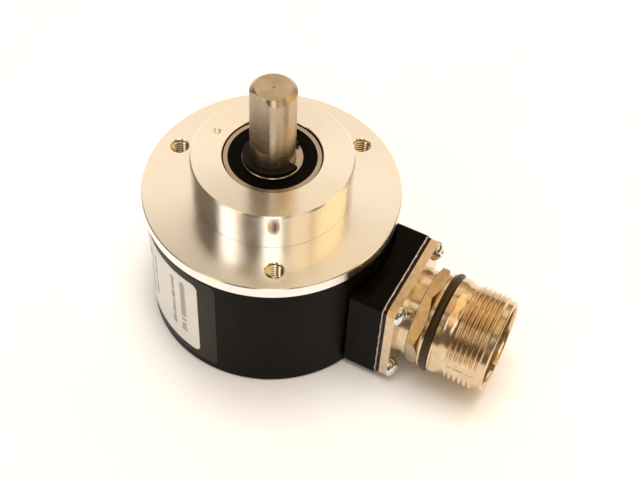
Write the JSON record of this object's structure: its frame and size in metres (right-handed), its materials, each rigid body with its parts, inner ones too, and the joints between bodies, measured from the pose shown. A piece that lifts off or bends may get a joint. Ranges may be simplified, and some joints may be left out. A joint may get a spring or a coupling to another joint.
{
  "type": "rotary encoder",
  "caption": "Shaft encoder with a clamping flange and spigot, flatted shaft in sealed ball bearings, closed black cover and a radial round threaded connector on a side block.",
  "frame": {"origin": "centre of the flange's mounting face, on the shaft axis, where the spigot begins", "axes": "+Z along the shaft out of the machine side of the flange; +X from the shaft axis out through the connector; +Y completes the right-handed frame"},
  "size_m": [0.0876, 0.058, 0.0666],
  "materials": {
    "turned_aluminium": "fine turned face, bright",
    "ground_steel": "ground, satin",
    "black_spring_steel": "black phosphated",
    "bearing_steel": "ground, bright",
    "cage_polymer": "natural polyamide",
    "black_cover": "black, smooth satin",
    "black_block": "black, smooth satin",
    "black_rubber": "satin",
    "dark_gasket": "matt",
    "pale_shim": "matt",
    "nickel_plate": "nickel plated, satin",
    "zinc_screws": "zinc plated, bright",
    "insert_plastic": "matt",
    "gold_contacts": "gold plated, bright",
    "signal_wire_cover": "satin",
    "supply_wire_cover": "satin",
    "hub_brass": "turned, satin",
    "disc_glass": "clear with a chrome track",
    "lamp_lens": "clear epoxy",
    "holder_plastic": "moulded",
    "chip_plastic": "moulded",
    "capacitor_can": "drawn can",
    "board_laminate": "green solder mask",
    "standoff_brass": "machined",
    "label_film": "silver-white film, satin",
    "backing_film": "dark film, satin"
  },
  "bodies": {
    "housing": {"block_screws": "zinc_screws", "board_header": "chip_plastic", "capacitors": "capacitor_can", "connector_block": "black_block", "connector_gasket": "dark_gasket", "connector_o_ring": "black_rubber", "connector_plate": "nickel_plate", "connector_shell": "nickel_plate", "contact_insert": "insert_plastic", "contact_pins": "gold_contacts", "cover": "black_cover", "cover_o_ring": "black_rubber", "cover_screws": "zinc_screws", "driver_chips": "chip_plastic", "flange": "turned_aluminium", "front_bearing_lower_seal": "black_rubber", "front_bearing_outer_ring": "bearing_steel", "front_bearing_upper_seal": "black_rubber", "gasket_shim": "pale_shim", "housing_circlip": "black_spring_steel", "label": "label_film", "label_backing": "backing_film", "lamp": "lamp_lens", "lamp_holder": "holder_plastic", "lamp_holder_screws": "zinc_screws", "lower_standoffs": "standoff_brass", "main_board": "board_laminate", "middle_standoffs": "standoff_brass", "plate_screws": "zinc_screws", "preload_washer": "bearing_steel", "rear_bearing_lower_seal": "black_rubber", "rear_bearing_outer_ring": "bearing_steel", "rear_bearing_upper_seal": "black_rubber", "reticle": "disc_glass", "sensor_board": "board_laminate", "sensor_chip": "chip_plastic", "signal_wires": "signal_wire_cover", "supply_wires": "supply_wire_cover", "upper_standoffs": "standoff_brass"},
    "shaft": {"shaft": "ground_steel", "front_snap_ring": "black_spring_steel", "bearing_spacer": "bearing_steel", "front_bearing_inner_ring": "bearing_steel", "rear_bearing_inner_ring": "bearing_steel", "disc_hub": "hub_brass", "hub_set_screw": "black_spring_steel", "code_disc": "disc_glass", "disc_clamp_ring": "hub_brass", "disc_clamp_screws": "zinc_screws"},
    "front_ball_set": {"front_bearing_balls": "bearing_steel", "front_bearing_cage": "cage_polymer"},
    "rear_ball_set": {"rear_bearing_balls": "bearing_steel", "rear_bearing_cage": "cage_polymer"}
  },
  "joints": [
    {"name": "shaft_spin", "type": "hinge", "parent": "housing", "child": "shaft", "pos_m": [0, 0, 0], "axis": [0, 0, 1], "continuous": true},
    {"name": "front_cage_spin", "type": "hinge", "parent": "housing", "child": "front_ball_set", "pos_m": [0, 0, 0], "axis": [0, 0, 1], "continuous": true},
    {"name": "rear_cage_spin", "type": "hinge", "parent": "housing", "child": "rear_ball_set", "pos_m": [0, 0, 0], "axis": [0, 0, 1], "continuous": true}
  ],
  "couplings": [
    {"joint": "front_cage_spin", "follows": "shaft_spin", "ratio": 0.4094},
    {"joint": "rear_cage_spin", "follows": "shaft_spin", "ratio": 0.4094}
  ]
}
